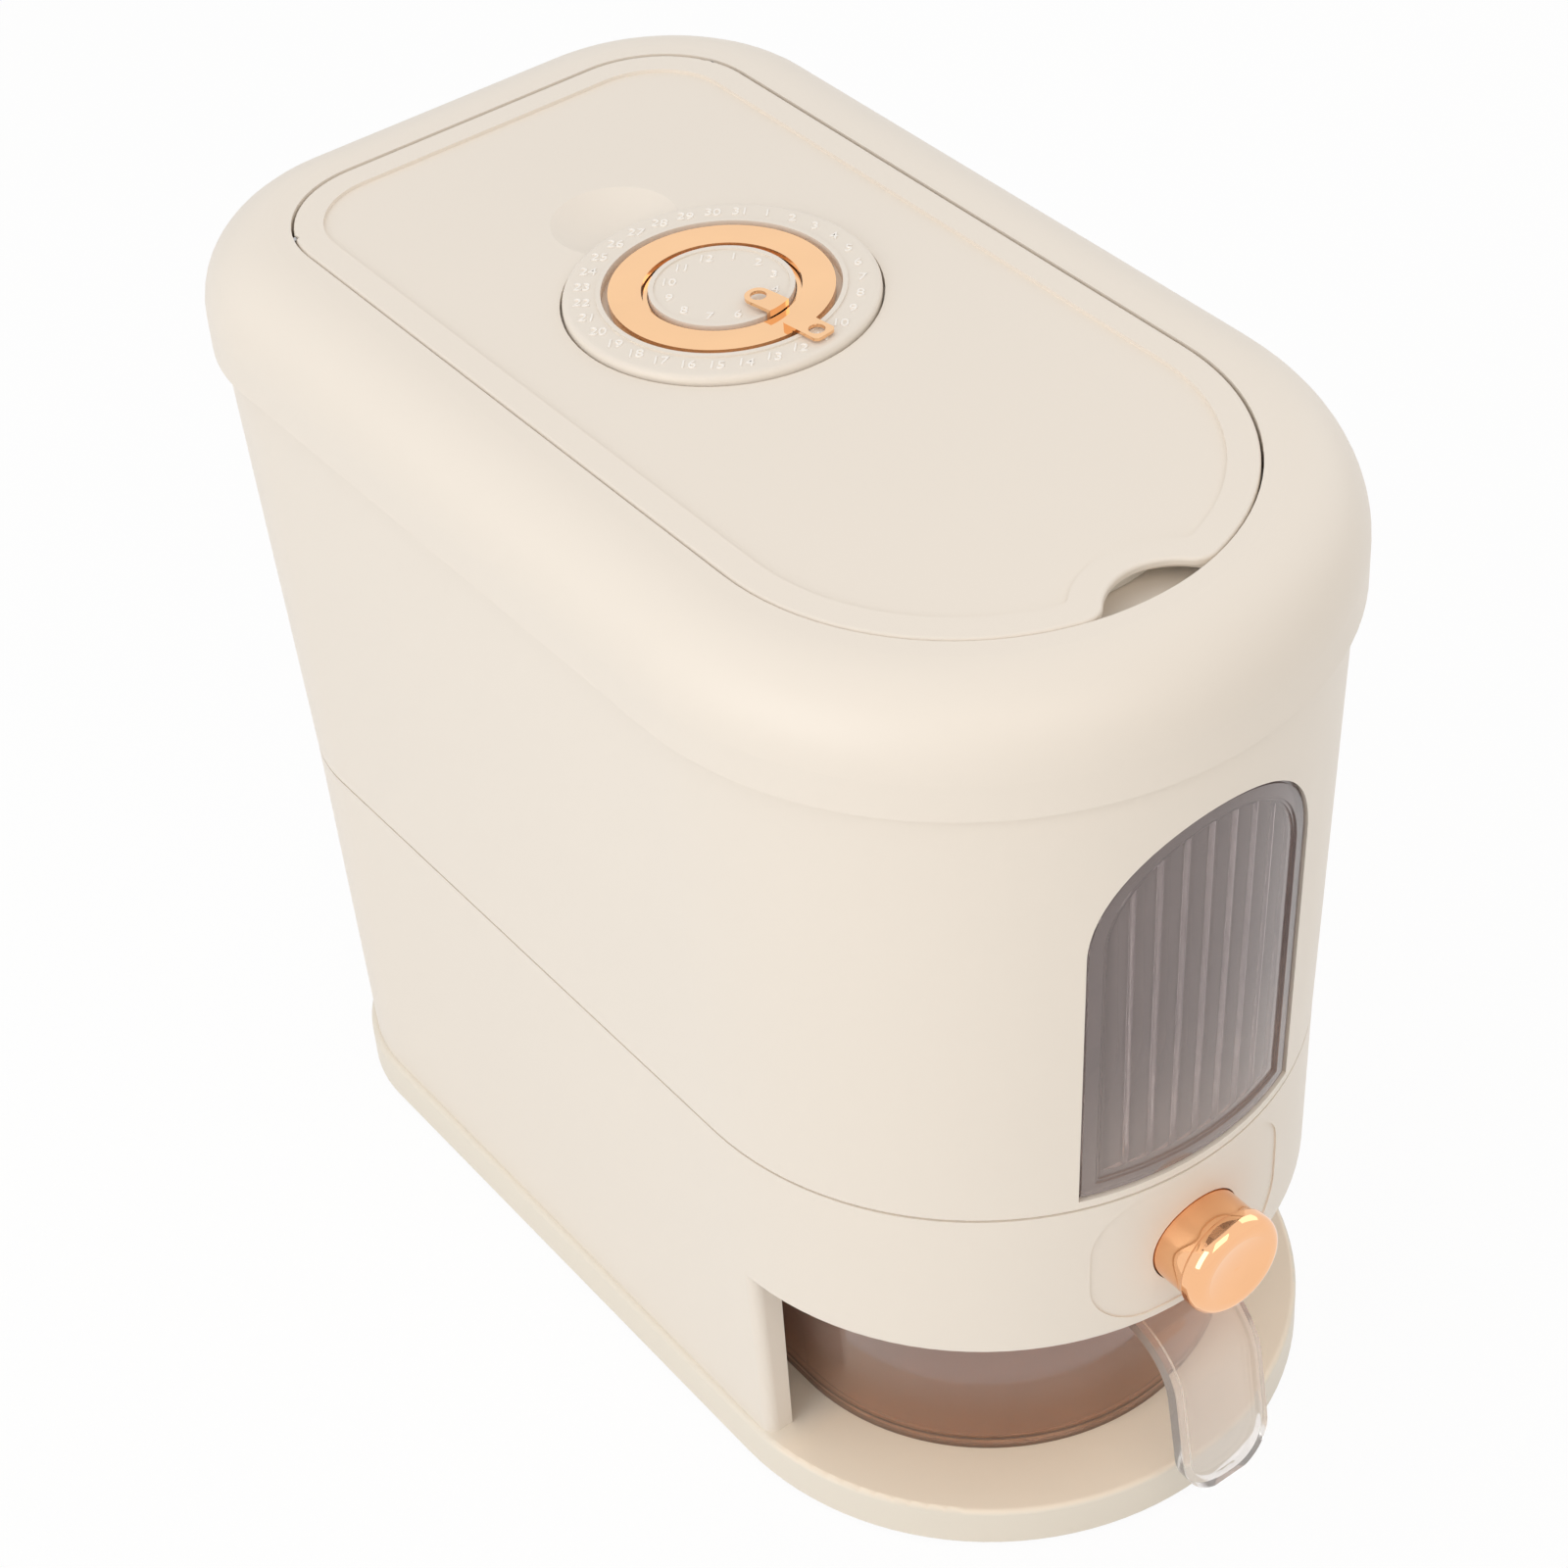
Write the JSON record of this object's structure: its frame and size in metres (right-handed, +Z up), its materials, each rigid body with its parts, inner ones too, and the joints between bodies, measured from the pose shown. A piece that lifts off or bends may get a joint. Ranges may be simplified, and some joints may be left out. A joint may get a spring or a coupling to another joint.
{
  "type": "rice dispenser",
  "caption": "Upright counter-top grain dispenser with a hinged lid, date dial, front window, push-button gate and a pull-out measuring cup.",
  "frame": {"origin": "middle of the bounding box at the level of the feet", "axes": "+Z up, the button and the cup's handle face -Y, +Y along the object's length to the back, +X across its width"},
  "size_m": [0.2056, 0.3656, 0.3244],
  "materials": {
    "cream_body": "satin cream",
    "cream_dial": "satin cream, numbered",
    "rose_gold": "polished rose-gold plating",
    "smoke_clear": "clear smoky grey",
    "cup_clear": "clear brownish grey",
    "white_inner": "plain off-white",
    "seal": "soft silicone",
    "feet": "dark rubber",
    "steel": "plain steel"
  },
  "bodies": {
    "housing": {"base_plate": "cream_body", "rubber_feet": "feet", "base_screws": "steel", "lower_body": "cream_body", "hopper_shell": "cream_body", "view_window": "smoke_clear", "hopper_funnel": "white_inner", "gate_housing": "white_inner", "gate_screws": "steel", "button_sleeve": "white_inner", "return_spring": "steel", "top_rim": "cream_body", "lid_well": "cream_body", "hinge_pins": "steel"},
    "lid": {"lid": "cream_body", "lid_seal": "seal", "desiccant_cup": "white_inner"},
    "dial": {"dial_plate": "cream_dial", "month_disc": "cream_dial"},
    "day_ring": {"day_ring": "rose_gold"},
    "month_pointer": {"month_pointer": "rose_gold"},
    "button": {"button_cap": "rose_gold", "button_barrel": "rose_gold", "push_rod": "white_inner", "shutter_plate": "white_inner"},
    "measuring_cup": {"measuring_cup": "cup_clear"}
  },
  "joints": [
    {"name": "lid_hinge", "type": "hinge", "parent": "housing", "child": "lid", "pos_m": [0, 0.13465, 0.3187], "axis": [-1, 0, 0], "range_deg": [0, 95]},
    {"name": "dial_lift", "type": "slide", "parent": "lid", "child": "dial", "axis": [0, 0, 1], "range_m": [0, 0.06]},
    {"name": "day_turn", "type": "hinge", "parent": "dial", "child": "day_ring", "pos_m": [0, 0.03015, 0.3219], "axis": [0, 0, 1], "continuous": true},
    {"name": "month_turn", "type": "hinge", "parent": "dial", "child": "month_pointer", "pos_m": [0, 0.03015, 0.3219], "axis": [0, 0, 1], "continuous": true},
    {"name": "button_press", "type": "slide", "parent": "housing", "child": "button", "axis": [0, 1, 0], "range_m": [0, 0.009], "stiffness_N_per_m": 600, "springref_m": -0.004, "deforming": ["return_spring"]},
    {"name": "cup_pull", "type": "slide", "parent": "housing", "child": "measuring_cup", "axis": [0, -1, 0], "range_m": [0, 0.2]}
  ]
}
